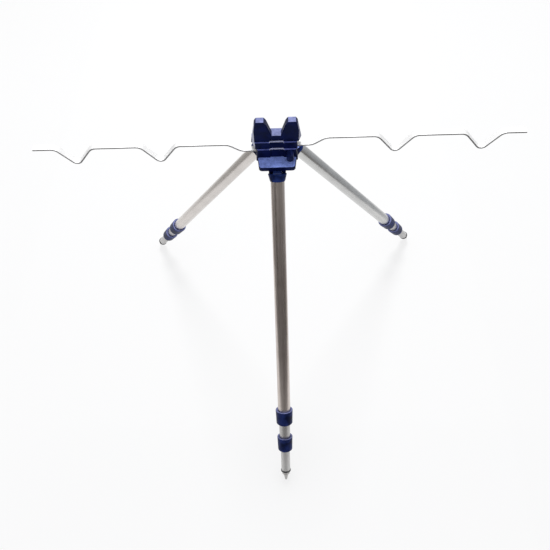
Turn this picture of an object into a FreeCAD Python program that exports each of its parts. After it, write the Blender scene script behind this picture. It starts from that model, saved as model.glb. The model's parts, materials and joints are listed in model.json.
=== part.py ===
"""Surf rod tripod: moulded head, two flat rod arms and three telescopic legs, in millimetres."""
import FreeCAD, Part
import math
import os
import re
import Sketcher

# Driving dimensions. Lengths are millimetres, angles are degrees, +Z is up and the front leg points along -Y.
SIZES = {
    # legs as a whole, measured along the leg from its hinge pin
    "leg_angle": 34.5,
    "rear_leg_azimuth": 36.0,
    "pivot_radius": 26.0,
    "leg_offset": 12.0,
    "leg_reach": 599.0,
    # tubes
    "main_tube_diameter": 23.0,
    "mid_tube_diameter": 20.0,
    "lower_tube_diameter": 17.0,
    "tube_wall": 1.2,
    "main_tube_start": 18.5,
    "rear_tube_start": 9.5,
    "lower_collar_from_tip": 96.5,
    "collars_apart": 57.0,
    "tube_in_collar": 12.0,
    "mid_tube_start": 60.0,
    "lower_tube_start": 78.0,
    "foot_height": 23.0,
    # twist locks
    "collar_length": 29.0,
    "collar_wall": 2.8,
    "collar_taper": 0.9,
    "collar_round": 2.5,
    "collar_lip": 2.0,
    "sleeve_wall": 1.2,
    "sleeve_setback": 3.0,
    "sleeve_lip": 2.0,
    "collar_mouth": 4.0,
    "collar_cone": 5.0,
    "running_gap": 0.05,
    "free_gap": 0.3,
    # plugs and feet
    "plug_flange": 2.0,
    "plug_depth": 10.0,
    "plug_gap": 0.1,
    "foot_ring_height": 2.0,
    "foot_ring_lip": 0.8,
    "foot_spigot": 20.0,
    "foot_shoulder_height": 6.0,
    "foot_shoulder_radius": 7.1,
    "foot_cone_radius": 5.0,
    "foot_nose_radius": 2.0,
    # knuckles and their clevises
    "knuckle_top": 6.5,
    "knuckle_radius": 15.5,
    "knuckle_mouth_radius": 12.8,
    "rear_knuckle_radius": 12.5,
    "knuckle_round": 1.5,
    "knuckle_spigot": 25.0,
    "tongue_thickness": 14.0,
    "tongue_shoulder": 6.0,
    "eye_radius": 6.2,
    "pin_radius": 2.5,
    "cheek_thickness": 6.7,
    "lobe_reach": 36.0,
    "hub_radius": 20.0,
    "hub_depth": 14.0,
    "hub_clearance": 0.5,
    # base block, heights measured from the hinge pins
    "shelf_height": 12.5,
    "shelf_thickness": 7.0,
    "shelf_reach": 37.0,
    "shelf_front_half": 29.5,
    "shelf_round": 6.0,
    "shelf_top_round": 1.5,
    "base_height": 28.5,
    "base_half_top": 32.0,
    "base_half_bottom": 34.5,
    "base_front": 12.5,
    "base_back": 16.0,
    "edge_round": 2.5,
    # middle block
    "middle_height": 12.5,
    "middle_front": 9.5,
    "middle_right_half": 33.0,
    # V rest block
    "rest_half_front": 36.2,
    "rest_half_back": 40.8,
    "rest_half_top": 34.4,
    "rest_front": 6.5,
    "rest_foot_back": 15.0,
    "rest_foot_height": 9.5,
    "rest_back": 7.5,
    "notch_floor_height": 11.5,
    "notch_depth": 27.0,
    "notch_floor_half": 7.4,
    "notch_top_half": 17.0,
    "notch_chamfer": 1.2,
    "ear_bevel": 2.6,
    "front_bevel": 1.8,
    "rest_round": 3.0,
    "skirt_flare": 1.3,
    "recess_half": 11.0,
    "recess_depth": 1.5,
    "rest_recess_depth": 2.4,
    "recess_height": 6.0,
    # arms
    "arm_width": 11.0,
    "arm_thickness": 2.5,
    "arm_middle_forward": 1.0,
    "arm_length": 400.0,
    "arm_end_inside": 28.0,
    "arm_joggle_start": 58.0,
    "arm_joggle_end": 79.5,
    "arm_joggle_rise": 14.0,
    "dips_apart": 140.0,
    "dip_from_end": 66.5,
    "dip_half_width": 30.0,
    "dip_depth": 31.0,
    "dip_flat_half": 4.5,
    "dip_bottom_radius": 9.5,
    "arm_bend_radius": 16.0,
    "arm_joggle_radius": 22.0,
    "left_arm_height": 21.0,
    "right_arm_lift": 2.1,
    # clamp knobs and inserts
    "knob_offset": 21.5,
    "knob_radius": 6.0,
    "knob_length": 16.5,
    "knob_round": 1.5,
    "knob_groove_radius": 0.7,
    "clamp_screw_radius": 2.0,
    "insert_radius": 2.8,
    "insert_length": 3.5,
    # head screws and nuts
    "screw_offset": 10.0,
    "screw_back": 8.5,
    "screw_radius": 2.5,
    "screw_head_radius": 4.2,
    "screw_head_height": 4.0,
    "screw_socket_radius": 2.0,
    "screw_socket_depth": 2.2,
    "nut_radius": 4.6,
    "nut_height": 4.0,
    "screw_end": 3.0,
    # one overrun for every cut
    "overrun": 5.0,
}

# Sizes that follow from the driving ones
DERIVED = {
    "main_bore": "main_tube_diameter / 2 - tube_wall",
    "lower_bore": "lower_tube_diameter / 2 - tube_wall",
    "lower_tube_end": "leg_reach - foot_height",
    "lower_collar_start": "leg_reach - lower_collar_from_tip",
    "upper_collar_start": "lower_collar_start - collars_apart",
    "main_tube_end": "upper_collar_start + tube_in_collar",
    "mid_tube_end": "lower_collar_start + tube_in_collar",
    "tongue_slot_half": "tongue_thickness / 2 + free_gap",
    "lobe_half": "tongue_slot_half + cheek_thickness",
    "eye_room": "eye_radius + free_gap",
    "stop_distance": "knuckle_top - free_gap",
    "stop_end": "((lobe_reach - pivot_radius) * sin(leg_angle) - stop_distance) / cos(leg_angle)",
    "dip_second": "arm_length - dip_from_end",
    "dip_first": "dip_second - dips_apart",
    "slot_width": "arm_width + 2 * free_gap",
    "slot_height": "arm_thickness + 2 * free_gap",
    "right_arm_height": "base_height + right_arm_lift",
    "rest_base": "base_height + middle_height",
    "notch_floor": "rest_base + notch_floor_height",
    "rest_top": "notch_floor + notch_depth",
    "screw_hole": "screw_radius + free_gap",
    "screw_top": "rest_base + nut_height + screw_end",
}

doc = FreeCAD.newDocument("surf_rod_tripod")
sheet = doc.addObject("Spreadsheet::Sheet", "sizes")
parts = []


def fill_sheet():
    """Write every size to a cell of its own and give the cell its name."""
    rows = [(name, str(value)) for name, value in SIZES.items()]
    rows += [(name, "=" + formula) for name, formula in DERIVED.items()]
    for row, (name, content) in enumerate(rows, start=1):
        cell = "B%d" % row
        sheet.set("A%d" % row, name)
        sheet.set(cell, content)
        sheet.setAlias(cell, name)
    doc.recompute()


fill_sheet()


def size(name):
    """The current value of a named size."""
    return float(getattr(sheet, name))


def formula(text):
    """The same formula with each size name pointed at the sheet."""
    names = set(SIZES) | set(DERIVED)
    return re.sub(r"[a-z_]+", lambda m: "sizes." + m.group() if m.group() in names else m.group(), text)


def number(text):
    """The value of a formula now."""
    return float(sheet.evalExpression(formula(text)))


def bind(item, **formulas):
    """Bind properties of a document object to formulas in the named sizes."""
    for key, text in formulas.items():
        item.setExpression(key.replace("__", "."), formula(text))


def head_placement():
    """Frame of the head: the middle of the hinge pins' plane, turned with the room."""
    return FreeCAD.Placement(FreeCAD.Vector(0, head_y, pivot_height), FreeCAD.Rotation())


def leg_placement(azimuth):
    """Frame of a leg: origin on its hinge pin, X outward across the leg and -Z down the leg."""
    turn = FreeCAD.Rotation(FreeCAD.Vector(0, 0, 1), azimuth)
    lean = FreeCAD.Rotation(FreeCAD.Vector(0, 1, 0), -size("leg_angle"))
    pin = turn.multVec(FreeCAD.Vector(size("pivot_radius"), 0, 0))
    base = FreeCAD.Vector(pin.x, pin.y + head_y, pivot_height)
    return FreeCAD.Placement(base, turn.multiply(lean))


def keep(item, label, placement):
    """Name a finished sub-part and put it in its place."""
    item.Label = label
    item.Placement = placement
    parts.append(item)
    return item


# Shapes made from sketches

def plane_of(body, role):
    """One of the body's own origin planes."""
    return [plane for plane in body.Origin.OriginFeatures if plane.Role == role][0]


def outline_sketch(body, role, points, shift=None):
    """A closed outline whose corners are tied to the sketch's origin by formulas."""
    sketch = body.newObject("Sketcher::SketchObject", "outline")
    sketch.AttachmentSupport = [(plane_of(body, role), "")]
    sketch.MapMode = "FlatFace"
    if shift:
        bind(sketch, **shift)
    corners = [FreeCAD.Vector(number(across), number(along), 0) for across, along in points]
    count = len(points)
    for index in range(count):
        sketch.addGeometry(Part.LineSegment(corners[index], corners[(index + 1) % count]), False)
    for index in range(count):
        link = Sketcher.Constraint("Coincident", index, 2, (index + 1) % count, 1)
        sketch.addConstraint(link)
    for index, texts in enumerate(points):
        for kind, axis, text in (("DistanceX", -2, texts[0]), ("DistanceY", -1, texts[1])):
            if text == "0":
                sketch.addConstraint(Sketcher.Constraint("PointOnObject", index, 1, axis))
                continue
            value = number(text)
            made = sketch.addConstraint(Sketcher.Constraint(kind, -1, 1, index, 1, value))
            sketch.setExpression("Constraints[%d]" % made, formula(text))
    return sketch


def circle_sketch(body, role, radius, across="0", along="0"):
    """One circle tied to the sketch's origin by formulas."""
    sketch = body.newObject("Sketcher::SketchObject", "circle")
    sketch.AttachmentSupport = [(plane_of(body, role), "")]
    sketch.MapMode = "FlatFace"
    middle = FreeCAD.Vector(number(across), number(along), 0)
    sketch.addGeometry(Part.Circle(middle, FreeCAD.Vector(0, 0, 1), number(radius)), False)
    made = sketch.addConstraint(Sketcher.Constraint("Radius", 0, number(radius)))
    sketch.setExpression("Constraints[%d]" % made, formula(radius))
    for kind, axis, text in (("DistanceX", -2, across), ("DistanceY", -1, along)):
        if text == "0":
            sketch.addConstraint(Sketcher.Constraint("PointOnObject", 0, 3, axis))
            continue
        made = sketch.addConstraint(Sketcher.Constraint(kind, -1, 1, 0, 3, number(text)))
        sketch.setExpression("Constraints[%d]" % made, formula(text))
    return sketch


def revolve(body, points, shift=None):
    """Turn an outline of (radius, height) corners about the sketch's upright axis."""
    sketch = outline_sketch(body, "XZ_Plane", points, shift)
    feature = body.newObject("PartDesign::Revolution", "turned")
    feature.Profile = sketch
    feature.ReferenceAxis = (sketch, ["V_Axis"])
    feature.Angle = 360
    return feature


def pad(body, sketch, length):
    """Pad a sketch by the same amount to both sides of its plane."""
    feature = body.newObject("PartDesign::Pad", "pad")
    feature.Profile = sketch
    feature.Midplane = True
    bind(feature, Length=length)
    return feature


def pocket(body, sketch, length):
    """Cut a sketch by the same amount to both sides of its plane."""
    feature = body.newObject("PartDesign::Pocket", "pocket")
    feature.Profile = sketch
    feature.Midplane = True
    bind(feature, Length=length)
    return feature


def new_body(name):
    """An empty body of the document."""
    return doc.addObject("PartDesign::Body", name)


def turned_part(label, points, placement, shift=None):
    """A sub-part that is one turned outline."""
    body = new_body(label)
    revolve(body, points, shift)
    return keep(body, label, placement)


# Shapes made from primitives

def box(name, x_low, x_high, y_low, y_high, z_low, z_high):
    """A box between formulas for its low and high faces."""
    item = doc.addObject("Part::Box", name)
    bind(item, Length="(%s) - (%s)" % (x_high, x_low), Width="(%s) - (%s)" % (y_high, y_low),
         Height="(%s) - (%s)" % (z_high, z_low), Placement__Base__x=x_low,
         Placement__Base__y=y_low, Placement__Base__z=z_low)
    return item


def upright_cylinder(name, radius, x, y, z_low, z_high):
    """A cylinder along Z."""
    item = doc.addObject("Part::Cylinder", name)
    bind(item, Radius=radius, Height="(%s) - (%s)" % (z_high, z_low), Placement__Base__x=x,
         Placement__Base__y=y, Placement__Base__z=z_low)
    return item


def level_cylinder(name, radius, x, z, y_low, y_high):
    """A cylinder along Y."""
    item = doc.addObject("Part::Cylinder", name)
    item.Placement = FreeCAD.Placement(FreeCAD.Vector(), FreeCAD.Rotation(FreeCAD.Vector(1, 0, 0), -90))
    bind(item, Radius=radius, Height="(%s) - (%s)" % (y_high, y_low), Placement__Base__x=x,
         Placement__Base__y=y_low, Placement__Base__z=z)
    return item


def tapered_block(name, bottom, top, z_low, z_high):
    """A block whose rectangle changes from bottom to top; each is (x_low, x_high, y_low, y_high)."""
    item = doc.addObject("Part::Wedge", name)
    item.Placement = FreeCAD.Placement(FreeCAD.Vector(), FreeCAD.Rotation(FreeCAD.Vector(1, 0, 0), 90))
    bind(item, Xmin=bottom[0], Xmax=bottom[1], Zmin="-(%s)" % bottom[3], Zmax="-(%s)" % bottom[2],
         X2min=top[0], X2max=top[1], Z2min="-(%s)" % top[3], Z2max="-(%s)" % top[2], Ymin=z_low, Ymax=z_high)
    return item


def rounded(item, chosen, radius):
    """Fillet the edges of a primitive for which the test is true."""
    doc.recompute()
    edges = [index for index, edge in enumerate(item.Shape.Edges, start=1) if chosen(edge)]
    feature = doc.addObject("Part::Fillet", item.Name + "_round")
    feature.Base = item
    feature.Edges = [(index, size(radius), size(radius)) for index in edges]
    return feature


def chamfered(item, chosen, width):
    """Chamfer the edges for which the test is true."""
    doc.recompute()
    edges = [index for index, edge in enumerate(item.Shape.Edges, start=1) if chosen(edge)]
    feature = doc.addObject("Part::Chamfer", item.Name + "_chamfer")
    feature.Base = item
    feature.Edges = [(index, size(width), size(width)) for index in edges]
    return feature


def joined(name, items):
    """One solid from several."""
    item = doc.addObject("Part::MultiFuse", name)
    item.Shapes = items
    item.Refine = True
    return item


def cut(name, base, tools):
    """A solid less its tools."""
    tool = tools[0]
    if len(tools) > 1:
        tool = doc.addObject("Part::MultiFuse", name + "_tools")
        tool.Shapes = tools
    item = doc.addObject("Part::Cut", name)
    item.Base = base
    item.Tool = tool
    return item


def slants(edge):
    """True for an edge that runs mostly upright."""
    run = edge.Vertexes[-1].Point - edge.Vertexes[0].Point
    return abs(run.z) > math.hypot(run.x, run.y)


# Leg pieces, each in the leg's own frame

LEG_AXIS = {"AttachmentOffset__Base__x": "leg_offset"}


def knuckle(leg, placement, radius, mouth_radius, tube_start):
    """Moulded knuckle: eye and tongue on the hinge pin, cup and spigot for the main tube."""
    body = new_body(leg + "_knuckle")
    mouth = "-%s + knuckle_round" % tube_start
    end = "-%s - knuckle_spigot" % tube_start
    revolve(body, [("0", "-knuckle_top"), (radius, "-knuckle_top"), (mouth_radius, mouth),
                   (mouth_radius + " - knuckle_round / 2", "-" + tube_start),
                   ("main_bore - plug_gap", "-" + tube_start), ("main_bore - plug_gap", end), ("0", end)],
            LEG_AXIS)
    web = outline_sketch(body, "XZ_Plane", [("-eye_radius", "0"), ("leg_offset - " + radius, "-knuckle_top"),
                                            ("leg_offset - tongue_shoulder", mouth),
                                            ("leg_offset + tongue_shoulder", mouth),
                                            ("leg_offset + tongue_shoulder", "-knuckle_top"),
                                            ("0", "eye_radius")])
    pad(body, web, "tongue_thickness")
    pad(body, circle_sketch(body, "XZ_Plane", "eye_radius"), "tongue_thickness")
    pocket(body, circle_sketch(body, "XZ_Plane", "pin_radius + running_gap"), "knuckle_radius * 4")
    return keep(body, leg + "_knuckle", placement)


def tube(label, placement, radius, start, end):
    """A drawn tube of the common wall."""
    return turned_part(label, [("(%s) - tube_wall" % radius, "-(%s)" % start), (radius, "-(%s)" % start),
                               (radius, "-(%s)" % end), ("(%s) - tube_wall" % radius, "-(%s)" % end)],
                       placement, LEG_AXIS)


def thread_sleeve(label, placement, radius, collar_start):
    """Threaded ring fixed on a tube's end, with a lip under the end of the tube."""
    top = "-(%s) - sleeve_setback" % collar_start
    tube_end = "-(%s) - tube_in_collar" % collar_start
    foot = tube_end + " - sleeve_lip"
    outer = "(%s) + sleeve_wall" % radius
    inner = "(%s) - tube_wall" % radius
    return turned_part(label, [(radius, top), (outer, top), (outer, foot), (inner, foot),
                               (inner, tube_end), (radius, tube_end)], placement, LEG_AXIS)


def lock_collar(label, placement, radius, inner_radius, collar_start):
    """Twist collar: top lip over the sleeve, cone seat for the bush and a mouth round the next tube."""
    top = "-(%s)" % collar_start
    bottom = top + " - collar_length"
    mouth = bottom + " + collar_mouth"
    seat = mouth + " + collar_cone"
    cavity = "(%s) + sleeve_wall + free_gap" % radius
    outer = cavity + " + collar_wall"
    waist = outer + " - collar_taper"
    mouth_radius = "(%s) + free_gap" % inner_radius
    lip_radius = "(%s) + free_gap" % radius
    under_lip = top + " - collar_lip"
    return turned_part(label, [(lip_radius, top), (outer, top), (waist, bottom + " + collar_round"),
                               (waist + " - collar_round", bottom), (mouth_radius, bottom),
                               (mouth_radius, mouth), (cavity, seat), (cavity, under_lip),
                               (lip_radius, under_lip)], placement, LEG_AXIS)


def lock_bush(label, placement, radius, inner_radius, collar_start):
    """Split cone that the collar squeezes on the next tube."""
    top = "-(%s) - tube_in_collar - sleeve_lip - free_gap" % collar_start
    mouth = "-(%s) - collar_length + collar_mouth + 2 * free_gap" % collar_start
    seat = mouth + " + collar_cone"
    outer = "(%s) + sleeve_wall" % radius
    inner = "(%s) + running_gap" % inner_radius
    toe = "(%s) + free_gap" % inner_radius
    body = new_body(label)
    revolve(body, [(inner, top), (outer, top), (outer, seat), (toe, mouth), (inner, mouth)], LEG_AXIS)
    split = outline_sketch(body, "XZ_Plane", [("leg_offset", top + " + overrun"),
                                              ("leg_offset + (%s) + overrun" % outer, top + " + overrun"),
                                              ("leg_offset + (%s) + overrun" % outer, mouth + " - overrun"),
                                              ("leg_offset", mouth + " - overrun")])
    pocket(body, split, "tube_wall")
    return keep(body, label, placement)


def tube_plug(label, placement, radius, start):
    """Guide plug in the top end of an inner tube."""
    top = "-(%s) + plug_flange" % start
    seat = "-(%s)" % start
    inner = "(%s) - tube_wall - plug_gap" % radius
    return turned_part(label, [("0", top), (radius, top), (radius, seat), (inner, seat),
                               (inner, seat + " - plug_depth"), ("0", seat + " - plug_depth")],
                       placement, LEG_AXIS)


def foot_ring(label, placement):
    """Dark ring between the lower tube and the spike."""
    top = "-lower_tube_end"
    bottom = top + " - foot_ring_height"
    outer = "lower_tube_diameter / 2 + foot_ring_lip"
    inner = "lower_bore"
    return turned_part(label, [(inner, top), (outer, top), (outer, bottom), (inner, bottom)],
                       placement, LEG_AXIS)


def foot_spike(label, placement):
    """Pointed metal foot with a spigot in the lower tube and a round nose."""
    seat = "-lower_tube_end - foot_ring_height"
    step = seat + " - foot_shoulder_height"
    nose = "-leg_reach + foot_nose_radius"
    spigot = "lower_bore - plug_gap"
    body = new_body(label)
    revolve(body, [("0", "-lower_tube_end + foot_spigot"), (spigot, "-lower_tube_end + foot_spigot"),
                   (spigot, seat), ("foot_shoulder_radius", seat), ("foot_shoulder_radius", step),
                   ("foot_cone_radius", step), ("foot_nose_radius", nose), ("0", nose)], LEG_AXIS)
    ball = body.newObject("PartDesign::AdditiveSphere", "nose")
    bind(ball, Radius="foot_nose_radius", Placement__Base__x="leg_offset", Placement__Base__z=nose)
    return keep(body, label, placement)


def leg(name, azimuth):
    """All pieces of one leg."""
    place = leg_placement(azimuth)
    main = "main_tube_diameter / 2"
    mid = "mid_tube_diameter / 2"
    low = "lower_tube_diameter / 2"
    if name == "front":
        start = "main_tube_start"
        knuckle(name, place, "knuckle_radius", "knuckle_mouth_radius", start)
    else:
        start = "rear_tube_start"
        knuckle(name, place, "rear_knuckle_radius", "rear_knuckle_radius", start)
    tube(name + "_main_tube", place, main, start, "main_tube_end")
    thread_sleeve(name + "_upper_sleeve", place, main, "upper_collar_start")
    lock_collar(name + "_upper_collar", place, main, mid, "upper_collar_start")
    lock_bush(name + "_upper_bush", place, main, mid, "upper_collar_start")
    tube(name + "_mid_tube", place, mid, "mid_tube_start", "mid_tube_end")
    tube_plug(name + "_mid_plug", place, mid, "mid_tube_start")
    thread_sleeve(name + "_lower_sleeve", place, mid, "lower_collar_start")
    lock_collar(name + "_lower_collar", place, mid, low, "lower_collar_start")
    lock_bush(name + "_lower_bush", place, mid, low, "lower_collar_start")
    tube(name + "_lower_tube", place, low, "lower_tube_start", "lower_tube_end")
    tube_plug(name + "_lower_plug", place, low, "lower_tube_start")
    foot_ring(name + "_foot_ring", place)
    foot_spike(name + "_foot_spike", place)


# Head pieces, each in the head's own frame

def lobe(name, azimuth):
    """One clevis arm of the base block; its stop face meets the knuckle when the leg is open."""
    body = new_body(name)
    side = outline_sketch(body, "XZ_Plane", [
        ("0", "shelf_height"), ("lobe_reach", "shelf_height"), ("lobe_reach", "stop_end"),
        ("pivot_radius + stop_distance * sin(leg_angle)", "-stop_distance * cos(leg_angle)"),
        ("pivot_radius", "-stop_distance"),
        ("pivot_radius + leg_offset - knuckle_radius - hub_clearance", "-stop_distance"),
        ("hub_radius", "-hub_depth"), ("0", "-hub_depth")])
    pad(body, side, "2 * lobe_half")
    body.Placement = azimuth_placement(azimuth)
    return body


def clevis_cut(name, azimuth):
    """Room for a knuckle's tongue over its whole fold, with the pin's hole across it."""
    body = new_body(name)
    room = outline_sketch(body, "XZ_Plane", [
        ("pivot_radius - eye_room", "eye_room"), ("lobe_reach + overrun", "eye_room"),
        ("lobe_reach + overrun", "-hub_depth - overrun"),
        ("pivot_radius - eye_room", "-hub_depth - overrun")])
    pad(body, room, "2 * tongue_slot_half")
    hole = circle_sketch(body, "XZ_Plane", "pin_radius + running_gap", "pivot_radius")
    pad(body, hole, "2 * lobe_half + 2 * overrun")
    body.Placement = azimuth_placement(azimuth)
    return body


def azimuth_placement(azimuth):
    """A turn about the head's upright axis."""
    return FreeCAD.Placement(FreeCAD.Vector(), FreeCAD.Rotation(FreeCAD.Vector(0, 0, 1), azimuth))


def shelf():
    """Flat shelf in front of the base block, narrower towards its front."""
    body = new_body("shelf")
    plan = outline_sketch(body, "XY_Plane", [
        ("-base_half_bottom + edge_round", "0"), ("base_half_bottom - edge_round", "0"),
        ("base_half_top", "-base_front"), ("shelf_front_half", "-shelf_reach"),
        ("-shelf_front_half", "-shelf_reach"), ("-base_half_top", "-base_front")],
        {"AttachmentOffset__Base__z": "shelf_height - shelf_thickness / 2"})
    pad(body, plan, "shelf_thickness")
    front = -size("shelf_reach")
    near = size("free_gap")
    corners = rounded(body, lambda edge: slants(edge) and abs(edge.Vertexes[0].Point.y - front) < near,
                      "shelf_round")
    high = size("shelf_height")
    return rounded(corners, lambda edge: on_level(edge, high) and edge.CenterOfMass.y < -size("base_front"),
                   "shelf_top_round")


def on_level(edge, height):
    """True for an edge whose ends both lie at one height."""
    return all(abs(vertex.Point.z - height) < size("free_gap") for vertex in edge.Vertexes)


def arm_slot(name, x_low, x_high, height):
    """Slot for an arm's tongue, with the free gap above, below and at both edges."""
    middle = "-arm_middle_forward"
    return box(name, x_low, x_high, middle + " - slot_width / 2", middle + " + slot_width / 2",
               "(%s) - free_gap" % height, "(%s) - free_gap + slot_height" % height)


def screw_holes(name, radius, z_low, z_high):
    """A hole for each of the two head screws."""
    return [upright_cylinder("%s_%s" % (name, side), radius, sign + "screw_offset", "screw_back",
                             z_low, z_high) for side, sign in (("left", "-"), ("right", ""))]


def clamp_hole(name, x, height, face, edge):
    """Hole from a face (y) to an arm's edge (y) for a clamp screw, widened for its insert."""
    inward = "" if number(edge) > number(face) else "-"
    level = "(%s) + arm_thickness / 2" % height
    ends = [face + " %s" % ("- overrun" if inward == "" else "+ overrun"), edge]
    seat = [ends[0], face + " %s insert_length" % ("+" if inward == "" else "-")]
    ends.sort(key=number)
    seat.sort(key=number)
    narrow = level_cylinder(name, "clamp_screw_radius + running_gap", x, level, ends[0], ends[1])
    wide = level_cylinder(name + "_seat", "insert_radius", x, level, seat[0], seat[1])
    return [narrow, wide]


ARM_FRONT = "-arm_middle_forward - arm_width / 2"
ARM_BACK = "-arm_middle_forward + arm_width / 2"


def base_block(azimuths):
    """Moulded base with three clevises, the front shelf and the left arm's slot."""
    upper = tapered_block("base_upper", ("-base_half_bottom", "base_half_bottom", "-base_front", "base_back"),
                          ("-base_half_top", "base_half_top", "-base_front", "base_back"),
                          "shelf_height - shelf_thickness", "base_height")
    hub = upright_cylinder("hub", "hub_radius", "0", "0", "-hub_depth", "shelf_height")
    lobes = [lobe("lobe_%d" % turn, turn) for turn in azimuths]
    solid = joined("base_solid", [rounded(upper, slants, "edge_round"), shelf(), hub] + lobes)
    tools = [clevis_cut("clevis_cut_%d" % turn, turn) for turn in azimuths]
    tools.append(arm_slot("left_slot", "-base_half_bottom - overrun", "arm_end_inside + free_gap",
                          "left_arm_height"))
    tools += screw_holes("base_screw_hole", "screw_hole", "-hub_depth - overrun", "base_height + overrun")
    tools += screw_holes("base_counterbore", "screw_head_radius + free_gap", "-hub_depth - overrun",
                         "-hub_depth + screw_head_height")
    tools += clamp_hole("front_clamp_hole", "knob_offset", "left_arm_height", "-base_front", ARM_FRONT)
    tools.append(box("base_recess", "-recess_half", "recess_half", "-base_front - overrun",
                     "-base_front + recess_depth", "shelf_height", "base_height + overrun"))
    keep(cut("base_block", solid, tools), "base_block", head_placement())


def flank(name, sign):
    """Tool that narrows the middle and rest blocks towards their front on one side."""
    body = new_body(name)
    widening = "(rest_half_back - rest_half_front) / (rest_front + rest_back)"
    beyond = sign + "(rest_half_back + overrun)"
    sketch = outline_sketch(body, "XY_Plane", [
        ("%s(rest_half_front - overrun * %s)" % (sign, widening), "-rest_front - overrun"),
        (sign + "rest_half_back", "rest_back"), (beyond, "rest_back"), (beyond, "-rest_front - overrun")],
        {"AttachmentOffset__Base__z": "(base_height + rest_top) / 2"})
    pad(body, sketch, "rest_top - base_height + 2 * overrun")
    return body


def middle_block():
    """Block between base and V rest; it holds the right arm, and its left side runs on under the V rest."""
    solid = tapered_block("middle_solid",
                          ("-rest_half_back - skirt_flare", "middle_right_half + skirt_flare",
                           "-middle_front", "base_back"),
                          ("-rest_half_back", "middle_right_half", "-middle_front", "base_back"),
                          "base_height", "rest_base")
    tools = [flank("middle_flank", "-")]
    tools.append(arm_slot("right_slot", "-arm_end_inside - free_gap", "middle_right_half + overrun",
                          "right_arm_height"))
    tools.append(box("middle_recess", "-recess_half", "recess_half", "-middle_front - overrun",
                     "-middle_front + recess_depth", "base_height - overrun", "rest_base + overrun"))
    tools += screw_holes("middle_screw_hole", "screw_hole", "base_height - overrun", "rest_base + overrun")
    tools += clamp_hole("rear_clamp_hole", "-knob_offset", "right_arm_height", "base_back", ARM_BACK)
    keep(cut("middle_block", rounded(solid, slants, "edge_round"), tools), "middle_block", head_placement())


def v_rest():
    """Rest block with a flat-bottomed V notch for a rod."""
    ears = tapered_block("rest_ears", ("-rest_half_back", "rest_half_back", "-rest_front", "rest_back"),
                         ("-rest_half_top", "rest_half_top", "-rest_front", "rest_back"),
                         "rest_base", "rest_top")
    foot = box("rest_foot", "-base_half_top", "base_half_top", "0", "rest_foot_back", "rest_base",
               "rest_base + rest_foot_height")
    solid = joined("rest_solid", [rounded(ears, slants, "rest_round"), rounded(foot, slants, "edge_round")])
    notch = new_body("notch")
    beyond = "notch_top_half + (notch_top_half - notch_floor_half) * overrun / notch_depth"
    side = outline_sketch(notch, "XZ_Plane", [
        ("-notch_floor_half", "notch_floor"), ("notch_floor_half", "notch_floor"),
        (beyond, "rest_top + overrun"), ("-(%s)" % beyond, "rest_top + overrun")])
    pad(notch, side, "4 * rest_foot_back")
    bevels = []
    for name, inner, outer in (("outer", "rest_half_top - ear_bevel", "rest_half_top"),
                               ("inner", "notch_top_half + ear_bevel", "notch_top_half")):
        for side, sign in (("left", "-"), ("right", "")):
            bevels.append(ear_bevel("bevel_%s_%s" % (name, side), sign, inner, outer))
    tools = [notch, flank("right_flank", ""), flank("left_flank", "-")]
    tools.append(box("rest_recess", "-recess_half", "recess_half", "-rest_front - overrun",
                     "-rest_front + rest_recess_depth", "rest_base - overrun", "rest_base + recess_height"))
    tools += screw_holes("rest_screw_hole", "screw_hole", "rest_base - overrun", "screw_top + free_gap")
    tools += screw_holes("nut_pocket", "nut_radius + running_gap", "rest_base - overrun",
                         "rest_base + nut_height")
    block = cut("rest_cut", solid, tools)
    faces = (-size("rest_front"), size("rest_back"))
    floor = size("notch_floor")

    def notch_edge(edge):
        ends = [vertex.Point for vertex in edge.Vertexes]
        level = any(all(abs(end.y - face) < size("free_gap") for end in ends) for face in faces)
        inside = all(abs(end.x) < size("notch_top_half") + size("free_gap") for end in ends)
        return level and inside and all(end.z > floor - size("free_gap") for end in ends)

    eased = chamfered(block, notch_edge, "notch_chamfer")
    keep(cut("rest_bevelled", eased, bevels + [front_bevel()]), "v_rest_block", head_placement())


def ear_bevel(name, sign, flat_end, edge):
    """Tool that bevels an ear's top along its side, from where the flat top ends down past the edge."""
    body = new_body(name)
    beyond = "overrun" if number(edge) > number(flat_end) else "-overrun"
    pad(body, outline_sketch(body, "XZ_Plane", [
        ("%s(%s - %s)" % (sign, flat_end, beyond), "rest_top + overrun"),
        ("%s(%s + %s)" % (sign, edge, beyond), "rest_top - ear_bevel - overrun"),
        ("%s(%s + %s)" % (sign, edge, beyond), "rest_top + overrun")]), "4 * rest_foot_back")
    return body


def front_bevel():
    """Tool that bevels the front edge of both ears' tops."""
    body = new_body("bevel_front")
    pad(body, outline_sketch(body, "YZ_Plane", [
        ("-rest_front + front_bevel + overrun", "rest_top + overrun"),
        ("-rest_front - overrun", "rest_top - front_bevel - overrun"),
        ("-rest_front - overrun", "rest_top + overrun")]), "2 * (rest_half_back + overrun)")
    return body


def bent_strip(points, bends, thickness):
    """Closed outline round an open line of points in XZ, each inner point with its own bend radius."""
    rims = []
    for half in (thickness / 2, -thickness / 2):
        corners = []
        for index, point in enumerate(points):
            before = (point - points[index - 1]).normalize() if index else None
            after = (points[index + 1] - point).normalize() if index + 1 < len(points) else None
            ahead = after or before
            back = before or after
            turn = math.atan2(back.x * ahead.z - back.z * ahead.x, back.x * ahead.x + back.z * ahead.z)
            square = FreeCAD.Vector(-back.z - ahead.z, 0, back.x + ahead.x).normalize()
            corner = point + square * (half / math.cos(turn / 2))
            corners.append((corner, back, ahead, turn, bends[index] - half * math.copysign(1, turn)))
        rims.append(rounded_line(corners))
    first, second = rims
    ends = [(first[0].valueAt(first[0].FirstParameter), second[0].valueAt(second[0].FirstParameter)),
            (first[-1].valueAt(first[-1].LastParameter), second[-1].valueAt(second[-1].LastParameter))]
    caps = [Part.LineSegment(start, end).toShape() for start, end in ends]
    return Part.Face(Part.Wire(Part.__sortEdges__(first + second + caps)))


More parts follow.
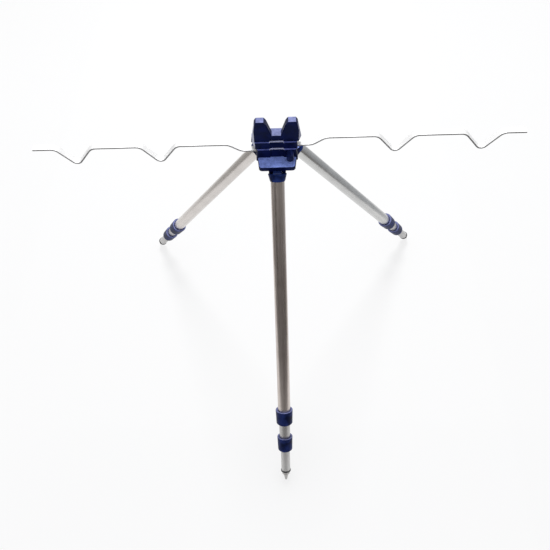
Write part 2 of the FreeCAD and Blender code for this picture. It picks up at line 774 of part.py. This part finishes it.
def rounded_line(corners):
    """Edges of an open line whose corners are arcs of their own radii."""
    edges = []
    last = corners[0][0]
    for corner, back, ahead, turn, radius in corners[1:-1]:
        reach = radius * math.tan(abs(turn) / 2)
        start = corner - back * reach
        end = corner + ahead * reach
        inward = (ahead - back).normalize()
        middle = corner + inward * (radius / math.cos(turn / 2) - radius)
        edges.append(Part.LineSegment(last, start).toShape())
        edges.append(Part.Arc(start, middle, end).toShape())
        last = end
    edges.append(Part.LineSegment(last, corners[-1][0]).toShape())
    return edges


def arm(label, side, height):
    """Flat strip on edge of one side: tongue in the head, joggle up, two V dips and a plain end."""
    rise = size("arm_joggle_rise")
    bend = size("arm_bend_radius")
    bottom = size("dip_bottom_radius")
    line = [(-size("arm_end_inside"), 0), (size("arm_joggle_start"), 0), (size("arm_joggle_end"), rise)]
    joggle = size("arm_joggle_radius")
    bends = [joggle, joggle, joggle]
    for dip in (size("dip_first"), size("dip_second")):
        low = rise - size("dip_depth")
        line += [(dip - size("dip_half_width"), rise), (dip - size("dip_flat_half"), low),
                 (dip + size("dip_flat_half"), low), (dip + size("dip_half_width"), rise)]
        bends += [bend, bottom, bottom, bend]
    line.append((size("arm_length"), rise))
    bends.append(bend)
    middle = height + size("arm_thickness") / 2
    front = -size("arm_middle_forward") - size("arm_width") / 2
    points = [FreeCAD.Vector(side * across, front, middle + up) for across, up in line]
    face = bent_strip(points, bends, size("arm_thickness"))
    item = doc.addObject("Part::Feature", label)
    item.Shape = face.extrude(FreeCAD.Vector(0, size("arm_width"), 0))
    return keep(item, label, head_placement())


def clamp_knob(label, x, height, face, edge, outward):
    """Fluted knob with its screw, reaching from the block's face to the arm's edge."""
    body = new_body(label)
    depth = "abs((%s) - (%s)) - free_gap" % (face, edge)
    top = "free_gap + knob_length"
    revolve(body, [("0", "-(%s)" % depth), ("clamp_screw_radius", "-(%s)" % depth),
                   ("clamp_screw_radius", "free_gap"), ("knob_radius", "free_gap"),
                   ("knob_radius", top + " - knob_round"), ("knob_radius - knob_round", top), ("0", top)])
    flute = circle_sketch(body, "XY_Plane", "knob_groove_radius", "knob_radius")
    groove = body.newObject("PartDesign::Pocket", "groove")
    groove.Profile = flute
    groove.Reversed = True
    bind(groove, Length=top + " + overrun")
    flutes = body.newObject("PartDesign::PolarPattern", "flutes")
    flutes.Originals = [groove]
    flutes.Axis = (flute, ["N_Axis"])
    flutes.Angle = 360
    flutes.Occurrences = FLUTES
    body.Tip = flutes
    place = FreeCAD.Vector(number(x), number(face), number(height) + size("arm_thickness") / 2)
    turn = FreeCAD.Rotation(FreeCAD.Vector(1, 0, 0), -outward * 90)
    return keep(body, label, head_placement().multiply(FreeCAD.Placement(place, turn)))


def clamp_inserts():
    """Threaded inserts that the clamp screws run in, one in the base's front and one in the middle's back."""
    rings = []
    for name, x, height, low, high in (
            ("front_insert", "knob_offset", "left_arm_height", "-base_front", "-base_front + insert_length"),
            ("rear_insert", "-knob_offset", "right_arm_height", "base_back - insert_length", "base_back")):
        level = "(%s) + arm_thickness / 2" % height
        outer = level_cylinder(name, "insert_radius", x, level, low, high)
        bore = level_cylinder(name + "_bore", "clamp_screw_radius + running_gap", x, level,
                              low + " - overrun", high + " + overrun")
        rings.append(cut(name + "_ring", outer, [bore]))
    keep(joined("clamp_inserts", rings), "clamp_inserts", head_placement())


def hexagon(radius):
    """Corner formulas of a hexagon about the origin."""
    return [("(%s) * cos(%d)" % (radius, turn), "(%s) * sin(%d)" % (radius, turn)) if turn % 180 else
            ("(%s) * cos(%d)" % (radius, turn), "0") for turn in range(0, 360, 60)]


def head_screws():
    """Two long socket screws from under the base up to their nuts."""
    screws = []
    for side in (-1, 1):
        body = new_body("head_screw")
        revolve(body, [("0", "-hub_depth"), ("screw_head_radius", "-hub_depth"),
                       ("screw_head_radius", "-hub_depth + screw_head_height"),
                       ("screw_radius", "-hub_depth + screw_head_height"),
                       ("screw_radius", "screw_top"), ("0", "screw_top")])
        socket = outline_sketch(body, "XY_Plane", hexagon("screw_socket_radius"),
                                {"AttachmentOffset__Base__z": "-hub_depth"})
        pocket(body, socket, "2 * screw_socket_depth")
        body.Placement = FreeCAD.Placement(FreeCAD.Vector(side * size("screw_offset"), size("screw_back"), 0),
                                           FreeCAD.Rotation())
        screws.append(body)
    keep(joined("head_screws", screws), "head_screws", head_placement())


def head_nuts():
    """Hexagon nuts in the pockets of the V rest block."""
    nuts = []
    for side in (-1, 1):
        body = new_body("head_nut")
        ring = outline_sketch(body, "XY_Plane", hexagon("nut_radius"),
                              {"AttachmentOffset__Base__z": "rest_base + nut_height / 2"})
        pad(body, ring, "nut_height")
        pocket(body, circle_sketch(body, "XY_Plane", "screw_radius"), "4 * rest_base")
        body.Placement = FreeCAD.Placement(FreeCAD.Vector(side * size("screw_offset"), size("screw_back"), 0),
                                           FreeCAD.Rotation())
        nuts.append(body)
    keep(joined("head_nuts", nuts), "head_nuts", head_placement())


def hinge_pins(azimuths):
    """Plain pins of the three leg hinges, flush with the clevis cheeks."""
    pins = []
    for azimuth in azimuths:
        body = new_body("hinge_pin")
        revolve(body, [("0", "-lobe_half"), ("pin_radius", "-lobe_half"), ("pin_radius", "lobe_half"),
                       ("0", "lobe_half")])
        across = FreeCAD.Placement(FreeCAD.Vector(size("pivot_radius"), 0, 0),
                                   FreeCAD.Rotation(FreeCAD.Vector(1, 0, 0), 90))
        body.Placement = azimuth_placement(azimuth).multiply(across)
        pins.append(body)
    keep(joined("hinge_pins", pins), "hinge_pins", head_placement())


def check_and_export():
    """Stop on anything broken, then write one file for each sub-part."""
    doc.recompute()
    for item in doc.Objects:
        if "Invalid" in item.State or "Error" in item.State:
            raise RuntimeError("feature %s is %s" % (item.Name, item.State))
    os.makedirs("parts", exist_ok=True)
    for item in parts:
        if item.Shape.isNull() or not item.Shape.isValid():
            raise RuntimeError("sub-part %s has no valid shape" % item.Label)
    for item in parts:
        item.Shape.exportStep("parts/%s.step" % item.Label)
    print("wrote", len(parts), "sub-parts")


FLUTES = 8
lean = math.radians(size("leg_angle"))
nose_reach = size("leg_reach") - size("foot_nose_radius")

# The lowest point of the round nose is on the ground, and the origin is the middle of the feet's spread
pivot_height = (nose_reach * math.cos(lean) - size("leg_offset") * math.sin(lean)
                + size("foot_nose_radius"))
foot_radius = (size("pivot_radius") + nose_reach * math.sin(lean) + size("leg_offset") * math.cos(lean))
head_y = foot_radius * (1 - math.sin(math.radians(size("rear_leg_azimuth")))) / 2

AZIMUTHS = (-90.0, size("rear_leg_azimuth"), 180.0 - size("rear_leg_azimuth"))
LEGS = tuple(zip(("front", "rear_right", "rear_left"), AZIMUTHS))

base_block(AZIMUTHS)
hinge_pins(AZIMUTHS)
middle_block()
v_rest()
head_screws()
head_nuts()
clamp_inserts()
arm("right_arm", 1, size("right_arm_height"))
arm("left_arm", -1, size("left_arm_height"))
clamp_knob("front_clamp_knob", "knob_offset", "left_arm_height", "-base_front", ARM_FRONT, -1)
clamp_knob("rear_clamp_knob", "-knob_offset", "right_arm_height", "base_back", ARM_BACK, 1)
for name, azimuth in LEGS:
    leg(name, azimuth)
check_and_export()
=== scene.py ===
"""Looks of the folding rod tripod: materials, fine detail, studio and camera.

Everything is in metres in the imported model's own frame: +Z up, the front leg towards -Y, arms along X.
"""

import json
import math

import bpy
from mathutils import Matrix, Vector


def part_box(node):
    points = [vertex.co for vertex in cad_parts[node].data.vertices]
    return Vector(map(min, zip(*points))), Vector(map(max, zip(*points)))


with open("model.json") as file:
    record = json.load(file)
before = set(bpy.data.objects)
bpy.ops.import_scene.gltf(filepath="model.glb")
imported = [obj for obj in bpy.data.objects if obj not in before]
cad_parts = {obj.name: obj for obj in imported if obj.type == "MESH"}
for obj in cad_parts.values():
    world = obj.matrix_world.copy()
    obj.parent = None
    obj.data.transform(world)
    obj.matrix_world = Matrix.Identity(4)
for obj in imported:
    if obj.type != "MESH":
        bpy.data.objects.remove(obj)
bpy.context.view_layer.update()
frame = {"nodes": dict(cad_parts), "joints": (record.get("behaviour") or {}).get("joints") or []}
nodes = frame["nodes"]

LEGS = ("front", "rear_right", "rear_left")
UP = Vector((0, 0, 1))
FADE = 0.001


# Where things are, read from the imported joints

def joint(name):
    """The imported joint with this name."""
    return next(item for item in frame["joints"] if item["name"] == name)


def axis_of(name):
    """A joint's direction as a unit vector."""
    return Vector(joint(name)["axis"]).normalized()


def leg_axis(leg):
    """Unit vector down a leg."""
    down = axis_of(leg + "_mid_extend")
    return down if down.z < 0 else -down


def leg_turn(leg):
    """Rotation that puts Z along a leg and Y across it."""
    along = -leg_axis(leg)
    across = axis_of(leg + "_fold")
    side = across.cross(along).normalized()
    return Matrix((side, along.cross(side), along)).transposed()


# Material building

class Shader:
    """A node material with one principled shader and short calls for what feeds it."""

    def __init__(self, name, **sockets):
        self.material = bpy.data.materials.new(name)
        self.material.use_nodes = True
        self.tree = self.material.node_tree
        self.shader = self.tree.nodes["Principled BSDF"]
        for socket, value in sockets.items():
            self.shader.inputs[socket.replace("_", " ")].default_value = value
        self.height = None

    def link(self, source, target):
        """Join an output to an input."""
        self.tree.links.new(source, target)

    def add(self, kind, **values):
        """A new node of a kind, with its settings."""
        node = self.tree.nodes.new(kind)
        for name, value in values.items():
            setattr(node, name, value)
        return node

    def place(self, scale=(1, 1, 1), turn=None):
        """Object coordinates in metres, turned so that Z runs along a piece and stretched by a scale."""
        coordinate = self.add("ShaderNodeTexCoord")
        source = coordinate.outputs["Object"]
        if turn is not None:
            turned = self.add("ShaderNodeMapping")
            turned.inputs["Rotation"].default_value = turn.inverted().to_euler()
            self.link(source, turned.inputs["Vector"])
            source = turned.outputs["Vector"]
        stretched = self.add("ShaderNodeMapping")
        stretched.inputs["Scale"].default_value = scale
        self.link(source, stretched.inputs["Vector"])
        return stretched.outputs["Vector"]

    def noise(self, vector, scale, detail=3.0, roughness=0.5):
        """Cloudy value between 0 and 1."""
        node = self.add("ShaderNodeTexNoise")
        node.inputs["Scale"].default_value = scale
        node.inputs["Detail"].default_value = detail
        node.inputs["Roughness"].default_value = roughness
        self.link(vector, node.inputs["Vector"])
        return node.outputs["Fac"]

    def facing(self, direction, start, full):
        """How far a face looks along a direction of the piece itself: 0 up to start, 1 from full."""
        coordinate = self.add("ShaderNodeTexCoord")
        product = self.add("ShaderNodeVectorMath", operation="DOT_PRODUCT")
        self.link(coordinate.outputs["Normal"], product.inputs[0])
        product.inputs[1].default_value = direction
        return self.spread(product.outputs["Value"], start, full, 0, 1)

    def times(self, first, second):
        """Product of two values."""
        node = self.add("ShaderNodeMath", operation="MULTIPLY")
        self.link(first, node.inputs[0])
        self.link(second, node.inputs[1])
        return node.outputs[0]

    def spread(self, value, low, high, to_low, to_high):
        """Map a value from one span to another, held at both ends."""
        node = self.add("ShaderNodeMapRange")
        for socket, number in zip(("From Min", "From Max", "To Min", "To Max"), (low, high, to_low, to_high)):
            node.inputs[socket].default_value = number
        self.link(value, node.inputs["Value"])
        return node.outputs["Result"]

    def above(self, value, start, fade=FADE):
        """1 where a value is past a start, 0 before it."""
        return self.spread(value, start, start + fade, 0, 1)

    def below(self, value, start):
        """1 where a value is short of a start, 0 past it."""
        return self.spread(value, start, start + FADE, 1, 0)

    def blend(self, factor, first, second):
        """A colour between two colours or colour sockets."""
        node = self.add("ShaderNodeMix", data_type="RGBA")
        self.link(factor, node.inputs["Factor"])
        for socket, colour in ((node.inputs[6], first), (node.inputs[7], second)):
            if isinstance(colour, (tuple, list)):
                socket.default_value = (*colour, 1)
            else:
                self.link(colour, socket)
        return node.outputs[2]

    def colour(self, value):
        """Set the base colour."""
        self.link(value, self.shader.inputs["Base Color"])

    def rough(self, value):
        """Set the roughness."""
        self.link(value, self.shader.inputs["Roughness"])

    def bump(self, value, strength, distance):
        """Add a bump on top of the ones already there."""
        node = self.add("ShaderNodeBump")
        node.inputs["Strength"].default_value = strength
        node.inputs["Distance"].default_value = distance
        self.link(value, node.inputs["Height"])
        if self.height is not None:
            self.link(self.height, node.inputs["Normal"])
        self.height = node.outputs["Normal"]
        self.link(self.height, self.shader.inputs["Normal"])


# Colours of the navy plastic and of its painted highlights and painted reflections, how squarely the faces
# that get them look out, and where on the head they are painted

NAVY_DARK = (0.0012, 0.0026, 0.020)
NAVY_LIGHT = (0.003, 0.006, 0.050)
NAVY_LEG = (0.011, 0.021, 0.108)
NAVY_KNOB = (0.010, 0.018, 0.100)
NAVY_CUP = (0.013, 0.028, 0.130)
# The shelf tone is a painted blue reflection.
NAVY_SHELF_REFLECTION = (0.25, 0.34, 0.82)
# The top tone is a painted highlight of the light from above.
NAVY_TOP_HIGHLIGHT = (0.21, 0.23, 0.44)
# The ledge tones are painted highlights, brightest in the middle.
LEDGE_SIDE_HIGHLIGHT = (0.13, 0.16, 0.48)
LEDGE_MIDDLE_HIGHLIGHT = (0.66, 0.69, 0.98)
# The V rest's side tones are pale painted reflections.
REST_LEFT_REFLECTION = (0.33, 0.34, 0.43)
REST_RIGHT_REFLECTION = (0.16, 0.165, 0.24)
# Facing spans of the painted top highlight and of the painted side reflections.
HIGHLIGHT_FACING = (0.84, 0.97)
REFLECTION_FACING = (0.72, 0.88)
SHELF_DROP = 0.014
LEDGE_MARGIN = 0.002
# Half width of the brightest painted ledge highlight.
LEDGE_HIGHLIGHT_HALF_WIDTH = 0.0115
FLANK_START = 0.029

# Tint of the plastic's gloss, and tones of the other materials

GLOSS_TINT = (0.35, 0.5, 1.0)
BLACK_DARK = (0.008, 0.008, 0.01)
BLACK_LIGHT = (0.022, 0.022, 0.026)
STRIP_DARK = (0.78, 0.78, 0.785)
STRIP_LIGHT = (0.84, 0.84, 0.84)
# The arms' edge tone is painted shade.
STRIP_EDGE_SHADE = (0.50, 0.50, 0.505)
STEEL = (0.62, 0.63, 0.65)
BRASS = (0.72, 0.55, 0.28)
SPIKE_STEEL = (0.52, 0.51, 0.50)
METAL_ROUGHNESS = (0.24, 0.38)


def navy_plastic(name, up=UP, light=NAVY_LIGHT, gloss=0.12, dress=None):
    """Moulded navy plastic: dark sides, faintly mottled, and upward faces painted lighter as a painted
    highlight of the light from above.
    """
    made = Shader(name, Specular_IOR_Level=gloss, Specular_Tint=(*GLOSS_TINT, 1))
    spot = made.place()
    cloud = made.noise(spot, 70, 4)
    body = made.blend(made.spread(cloud, 0.35, 0.65, 0, 1), NAVY_DARK, light)
    top = NAVY_TOP_HIGHLIGHT
    if dress is not None:
        body, top = dress(made, spot, body)
    mottle = made.spread(made.noise(spot, 170, 5, 0.65), 0.3, 0.62, 0.5, 1.0)
    # Upward faces get the painted top highlight, broken up by the mottle.
    if up is not None:
        body = made.blend(made.times(made.facing(up, *HIGHLIGHT_FACING), mottle), body, top)
    made.colour(body)
    made.rough(made.spread(cloud, 0.3, 0.7, 0.32, 0.46))
    made.bump(made.noise(spot, 1100, 2), 0.12, 0.00012)
    made.bump(made.noise(spot, 90, 2), 0.10, 0.0003)
    return made.material


def head_painted_light(made, spot, body):
    """Painted light on the head blocks: a blue painted reflection on the shelf, painted highlights on the
    ledges, brightest in the middle, and pale painted reflections on the sides of the V rest.
    """
    base_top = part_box("base_block")[1].z
    rest_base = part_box("v_rest_block")[0].z
    split = made.add("ShaderNodeSeparateXYZ")
    made.link(spot, split.inputs["Vector"])
    height = split.outputs["Z"]
    # The shelf's blue is a painted reflection, blending up into the painted top highlight.
    risen = made.spread(height, base_top - SHELF_DROP, base_top - LEDGE_MARGIN, 0, 1)
    top = made.blend(risen, NAVY_SHELF_REFLECTION, NAVY_TOP_HIGHLIGHT)
    away = made.add("ShaderNodeMath", operation="ABSOLUTE")
    made.link(split.outputs["X"], away.inputs[0])
    sideways = away.outputs[0]
    # Painted highlight on the ledges, brightest near the middle.
    ledges = made.times(made.above(height, base_top - LEDGE_MARGIN),
                        made.below(height, rest_base + LEDGE_MARGIN))
    ledge_glint = made.times(ledges, made.below(sideways, LEDGE_HIGHLIGHT_HALF_WIDTH))
    top = made.blend(ledges, top, LEDGE_SIDE_HIGHLIGHT)
    top = made.blend(ledge_glint, top, LEDGE_MIDDLE_HIGHLIGHT)
    # Pale painted reflections on the outer sides of the V rest.
    outer = made.above(sideways, FLANK_START, 2 * FADE)
    for direction, tone, lowest in (((-1, 0, 0), REST_LEFT_REFLECTION, base_top), ((1, 0, 0), REST_RIGHT_REFLECTION, rest_base)):
        flank = made.times(made.above(height, lowest), made.facing(direction, *REFLECTION_FACING))
        body = made.blend(made.times(outer, flank), body, tone)
    return body, top


def black_plastic(name):
    """Dull black plastic of the bushes and plugs."""
    made = Shader(name, Roughness=0.5, Specular_IOR_Level=0.3)
    spot = made.place()
    cloud = made.noise(spot, 300, 3)
    made.colour(made.blend(cloud, BLACK_DARK, BLACK_LIGHT))
    made.bump(made.noise(spot, 1500, 2), 0.15, 0.0001)
    return made.material


def drawn_tube(name, turn, tones, roughness):
    """Drawn anodised tube: fine lines along the tube, a faint cloudy tone and patches of duller gloss."""
    made = Shader(name, Metallic=1.0)
    lines = made.noise(made.place((2600, 2600, 9), turn), 1.0, 3, 0.6)
    broad = made.noise(made.place((260, 260, 3.5), turn), 1.0, 2)
    cloud = made.noise(made.place(turn=turn), 35, 3)
    tone = made.add("ShaderNodeMath", operation="ADD")
    made.link(made.spread(lines, 0.3, 0.7, 0, 0.6), tone.inputs[0])
    made.link(made.spread(cloud, 0.35, 0.65, 0, 0.4), tone.inputs[1])
    made.colour(made.blend(tone.outputs[0], *tones))
    made.rough(made.spread(broad, 0.3, 0.7, roughness - 0.05, roughness + 0.06))
    made.bump(lines, 0.10, 0.00003)
    return made.material


def strip_aluminium(name):
    """Bright rolled strip with long fine lines on its flats, and sheared front and back edges painted a
    darker grey as painted shade.
    """
    made = Shader(name, Metallic=1.0)
    lines = made.noise(made.place((4, 2600, 4)), 1.0, 2, 0.5)
    cloud = made.noise(made.place(), 60, 3)
    flats = made.blend(made.spread(cloud, 0.3, 0.7, 0, 1), STRIP_DARK, STRIP_LIGHT)
    # Front and back edges are painted darker grey as painted shade.
    front = made.facing((0, -1, 0), 0.55, 0.85)
    rear = made.facing((0, 1, 0), 0.55, 0.85)
    edge = made.add("ShaderNodeMath", operation="MAXIMUM")
    made.link(front, edge.inputs[0])
    made.link(rear, edge.inputs[1])
    made.colour(made.blend(edge.outputs[0], flats, STRIP_EDGE_SHADE))
    made.rough(made.spread(lines, 0.3, 0.7, 0.70, 0.80))
    made.bump(lines, 0.05, 0.00002)
    return made.material


def turned_metal(name, turn, base):
    """Turned metal with fine rings round the axis."""
    made = Shader(name, Metallic=1.0)
    rings = made.noise(made.place((40, 40, 5200), turn), 1.0, 2)
    darker = tuple(0.75 * part for part in base)
    made.colour(made.blend(made.spread(rings, 0.35, 0.65, 0, 1), darker, base))
    made.rough(made.spread(rings, 0.3, 0.7, *METAL_ROUGHNESS))
    made.bump(rings, 0.2, 0.00004)
    return made.material


def plated_metal(name, base):
    """Plated fastener metal with faint blotches."""
    made = Shader(name, Metallic=1.0)
    cloud = made.noise(made.place(), 420, 3)
    darker = tuple(0.7 * part for part in base)
    made.colour(made.blend(made.spread(cloud, 0.3, 0.7, 0, 1), darker, base))
    made.rough(made.spread(cloud, 0.3, 0.7, *METAL_ROUGHNESS))
    return made.material


# CAD pieces keep their shape and get rounded edges and a material

WELD_DISTANCE = 1e-6
FLAT_ANGLE = math.radians(0.6)
EDGE_ANGLE = math.radians(32)
SPLIT_ANGLE = math.radians(30)


def paint(node, material):
    """Give a piece one material."""
    mesh = nodes[node].data
    mesh.materials.clear()
    mesh.materials.append(material)
    for face in mesh.polygons:
        face.material_index = 0


def smooth(node):
    """Smooth shading over a CAD piece's welded faces."""
    item = nodes[node]
    weld = item.modifiers.new("weld", "WELD")
    weld.merge_threshold = WELD_DISTANCE
    for face in item.data.polygons:
        face.use_smooth = True
    return item


def crisp(node):
    """Smooth bends with all real edges of a CAD piece left sharp."""
    split = smooth(node).modifiers.new("split", "EDGE_SPLIT")
    split.split_angle = SPLIT_ANGLE


def soften(node, width):
    """Round a CAD piece's sharp edges a little with modifiers, and leave its mesh alone."""
    item = smooth(node)
    flat = item.modifiers.new("flat", "DECIMATE")
    flat.decimate_type = "DISSOLVE"
    flat.angle_limit = FLAT_ANGLE
    bevel = item.modifiers.new("bevel", "BEVEL")
    bevel.width = width
    bevel.segments = 2
    bevel.limit_method = "ANGLE"
    bevel.angle_limit = EDGE_ANGLE
    normals = item.modifiers.new("normals", "WEIGHTED_NORMAL")
    normals.keep_sharp = True
    normals.weight = 60


def dress_head():
    """Plastic blocks, fasteners and arms of the head."""
    # The head's plastic gets painted highlights on its tops and ledges and painted reflections on the shelf
    # and on the V rest's sides.
    plastic = navy_plastic("navy_plastic_head", dress=head_painted_light)
    for node, width in (("base_block", 0.0005), ("middle_block", 0.0004), ("v_rest_block", 0.0005)):
        paint(node, plastic)
        soften(node, width)
    knob = navy_plastic("navy_plastic_knob", up=None, light=NAVY_KNOB)
    for node in ("front_clamp_knob", "rear_clamp_knob"):
        paint(node, knob)
        soften(node, 0.0003)
    steel = plated_metal("screw_steel", STEEL)
    for node in ("hinge_pins", "head_screws", "head_nuts"):
        paint(node, steel)
    paint("clamp_inserts", plated_metal("insert_brass", BRASS))
    strip = strip_aluminium("arm_strip")
    for node in ("right_arm", "left_arm"):
        paint(node, strip)
        crisp(node)


# Darker and lighter tone of the tubes, and of each leg's main tube
MID_TUBE = ((0.42, 0.41, 0.40), (0.54, 0.53, 0.52))
LOWER_TUBE = ((0.52, 0.515, 0.51), (0.64, 0.635, 0.63))
MAIN_TUBE = {"front": ((0.55, 0.49, 0.45), (0.70, 0.64, 0.60)),
             "rear_right": ((0.55, 0.55, 0.545), (0.68, 0.68, 0.67)),
             "rear_left": ((0.60, 0.565, 0.54), (0.74, 0.70, 0.67))}


def dress_leg(leg):
    """Knuckle, tubes, locks and foot of a leg."""
    turn = leg_turn(leg)
    # Faces that look up along the leg, such as the collars' ends, get the painted top highlight.
    plastic = navy_plastic("navy_plastic_" + leg, -leg_axis(leg), light=NAVY_LEG)
    cup = navy_plastic("navy_plastic_%s_knuckle" % leg, up=None, light=NAVY_CUP, gloss=0.1)
    for part, made, width in (("knuckle", cup, 0.0006), ("upper_collar", plastic, 0.0005),
                              ("lower_collar", plastic, 0.0005)):
        paint(leg + "_" + part, made)
        soften(leg + "_" + part, width)
    tubes = (("main", MAIN_TUBE[leg], 0.3), ("mid", MID_TUBE, 0.34), ("lower", LOWER_TUBE, 0.45))
    for part, tones, roughness in tubes:
        paint("%s_%s_tube" % (leg, part), drawn_tube("tube_%s_%s" % (leg, part), turn, tones, roughness))
    for part in ("upper_sleeve", "lower_sleeve"):
        paint("%s_%s" % (leg, part), plastic)
    black = black_plastic("black_plastic_" + leg)
    for part in ("upper_bush", "lower_bush", "mid_plug", "lower_plug"):
        paint("%s_%s" % (leg, part), black)
    paint(leg + "_foot_ring", black)
    paint(leg + "_foot_spike", turned_metal("foot_spike_" + leg, turn, SPIKE_STEEL))


# Studio: how far the floor lies below the feet and the flags above them, the tones and the key light

FLOOR_DROP = 0.0002
FLAG_LIFT = 0.004
FLOOR_SIZE = 16
BACKGROUND = 0.974
FLOOR_GLOW = 0.93
GLOW_SHARE = 0.8
FLAG_DARK = (0.11, 0.10, 0.095)
FLAG_RIGHT = (0.34, 0.35, 0.36)
FLAG_LEFT = (0.33, 0.325, 0.31)
KEY_DISTANCE = 2.6
KEY_SIZE = 0.9
KEY_POWER = 55


def ray_of(tree, *kinds):
    """Value that is 1 where a ray is of one of these kinds."""
    path = tree.nodes.new("ShaderNodeLightPath")
    found = path.outputs["Is %s Ray" % kinds[0]]
    for kind in kinds[1:]:
        either = tree.nodes.new("ShaderNodeMath")
        either.operation = "MAXIMUM"
        tree.links.new(found, either.inputs[0])
        tree.links.new(path.outputs["Is %s Ray" % kind], either.inputs[1])
        found = either.outputs[0]
    return found


def studio_floor():
    """Pale floor that the camera sees nearly white, with the object's own soft shadow kept."""
    bpy.ops.mesh.primitive_plane_add(size=FLOOR_SIZE, location=(0, 0, -FLOOR_DROP))
    floor = bpy.context.object
    floor.name = "floor"
    made = bpy.data.materials.new("floor_paper")
    made.use_nodes = True
    tree = made.node_tree
    shader = tree.nodes["Principled BSDF"]
    shader.inputs["Base Color"].default_value = (0.93, 0.93, 0.935, 1)
    shader.inputs["Roughness"].default_value = 0.6
    glow = tree.nodes.new("ShaderNodeEmission")
    glow.inputs["Color"].default_value = (FLOOR_GLOW, FLOOR_GLOW, FLOOR_GLOW, 1)
    share = tree.nodes.new("ShaderNodeMath")
    share.operation = "MULTIPLY"
    share.inputs[1].default_value = GLOW_SHARE
    tree.links.new(ray_of(tree, "Camera", "Glossy", "Transmission"), share.inputs[0])
    mix = tree.nodes.new("ShaderNodeMixShader")
    tree.links.new(share.outputs[0], mix.inputs["Fac"])
    tree.links.new(shader.outputs["BSDF"], mix.inputs[1])
    tree.links.new(glow.outputs["Emission"], mix.inputs[2])
    tree.links.new(mix.outputs["Shader"], tree.nodes["Material Output"].inputs["Surface"])
    floor.data.materials.append(made)


def studio_world():
    """Even pale surroundings: white to the eye and in gloss, a little dimmer as fill light."""
    world = bpy.data.worlds.new("studio")
    bpy.context.scene.world = world
    world.use_nodes = True
    tree = world.node_tree
    back = tree.nodes["Background"]
    back.inputs["Color"].default_value = (0.97, 0.975, 1.0, 1)
    back.inputs["Strength"].default_value = 0.8
    bright = tree.nodes.new("ShaderNodeBackground")
    bright.inputs["Color"].default_value = (BACKGROUND, BACKGROUND, BACKGROUND, 1)
    mix = tree.nodes.new("ShaderNodeMixShader")
    tree.links.new(ray_of(tree, "Camera", "Glossy"), mix.inputs["Fac"])
    tree.links.new(back.outputs["Background"], mix.inputs[1])
    tree.links.new(bright.outputs["Background"], mix.inputs[2])
    tree.links.new(mix.outputs["Shader"], tree.nodes["World Output"].inputs["Surface"])


def area_light(name, place, aim, size, power):
    """Round soft light at a place, aimed at a point."""
    data = bpy.data.lights.new(name, "AREA")
    data.shape = "DISK"
    data.size = size
    data.energy = power
    lamp = bpy.data.objects.new(name, data)
    lamp.location = place
    lamp.rotation_euler = (Vector(place) - Vector(aim)).to_track_quat("Z", "Y").to_euler()
    bpy.context.scene.collection.objects.link(lamp)


def key_light():
    """Softbox above and behind the head: the tops of the plastic shine towards the viewer."""
    head_top = Vector((0, 0.077, 0.55))
    aloft = Vector((0, 0.593, 0.805)).normalized()
    area_light("key_softbox", head_top + aloft * KEY_DISTANCE, head_top, KEY_SIZE, KEY_POWER)


def dark_flag(name, place, size, tone=FLAG_DARK, upright=False):
    """Dark studio flag, seen only in reflections: it gives bright tubes their darker core."""
    bpy.ops.mesh.primitive_plane_add(size=1, location=place)
    flag = bpy.context.object
    flag.name = name
    flag.scale = (*size, 1)
    if upright:
        flag.rotation_euler = (math.radians(90), 0, 0)
    made = bpy.data.materials.new(name)
    made.use_nodes = True
    shader = made.node_tree.nodes["Principled BSDF"]
    shader.inputs["Base Color"].default_value = (*tone, 1)
    shader.inputs["Roughness"].default_value = 0.9
    flag.data.materials.append(made)
    flag.visible_camera = False
    flag.visible_shadow = False
    flag.visible_diffuse = False


def dark_flags():
    """A flag beyond the viewer, dark ones on the floor for the front leg and paler ones for the rear legs."""
    dark_flag("flag_front", (0, -2.9, 1.2), (24.0, 2.4), upright=True)
    dark_flag("flag_floor_front", (0, -2.25, FLAG_LIFT), (8.0, 1.3))
    dark_flag("flag_floor_right", (4.2, -0.76, FLAG_LIFT), (7.5, 1.68))
    dark_flag("flag_floor_left", (-4.35, -0.76, FLAG_LIFT), (7.3, 1.68))
    dark_flag("flag_floor_right_back", (4.2, 0.79, FLAG_LIFT), (7.5, 1.42), FLAG_RIGHT)
    dark_flag("flag_floor_left_back", (-4.35, 0.79, FLAG_LIFT), (7.46, 1.42), FLAG_LEFT)


# Camera fitted to the photograph: its place in metres and its angles in degrees

EYE = Vector((0.018788, -0.728852, 1.249806))
LOOK_DOWN = math.radians(53.578)
ROLL = math.radians(-3.242)
HEADING = math.radians(-2.394)
FOCAL_PIXELS = 653.383
IMAGE_WIDTH = 550


def photo_camera():
    """Camera at the photograph's viewing angle."""
    data = bpy.data.cameras.new("photo_camera")
    data.sensor_width = 36
    data.lens = FOCAL_PIXELS / IMAGE_WIDTH * data.sensor_width
    data.clip_start = 0.01
    data.clip_end = 50
    forward = Vector((math.sin(HEADING) * math.cos(LOOK_DOWN), math.cos(HEADING) * math.cos(LOOK_DOWN),
                      -math.sin(LOOK_DOWN)))
    level = Vector((math.cos(HEADING), -math.sin(HEADING), 0))
    over = level.cross(forward)
    right = math.cos(ROLL) * level + math.sin(ROLL) * over
    up = -math.sin(ROLL) * level + math.cos(ROLL) * over
    turn = Matrix((right, up, -forward)).transposed()
    camera = bpy.data.objects.new("photo_camera", data)
    camera.matrix_world = Matrix.Translation(EYE) @ turn.to_4x4()
    bpy.context.scene.collection.objects.link(camera)
    bpy.context.scene.camera = camera


dress_head()
for leg in LEGS:
    dress_leg(leg)
studio_world()
studio_floor()
dark_flags()
key_light()
photo_camera()
bpy.context.scene.view_settings.view_transform = "Standard"
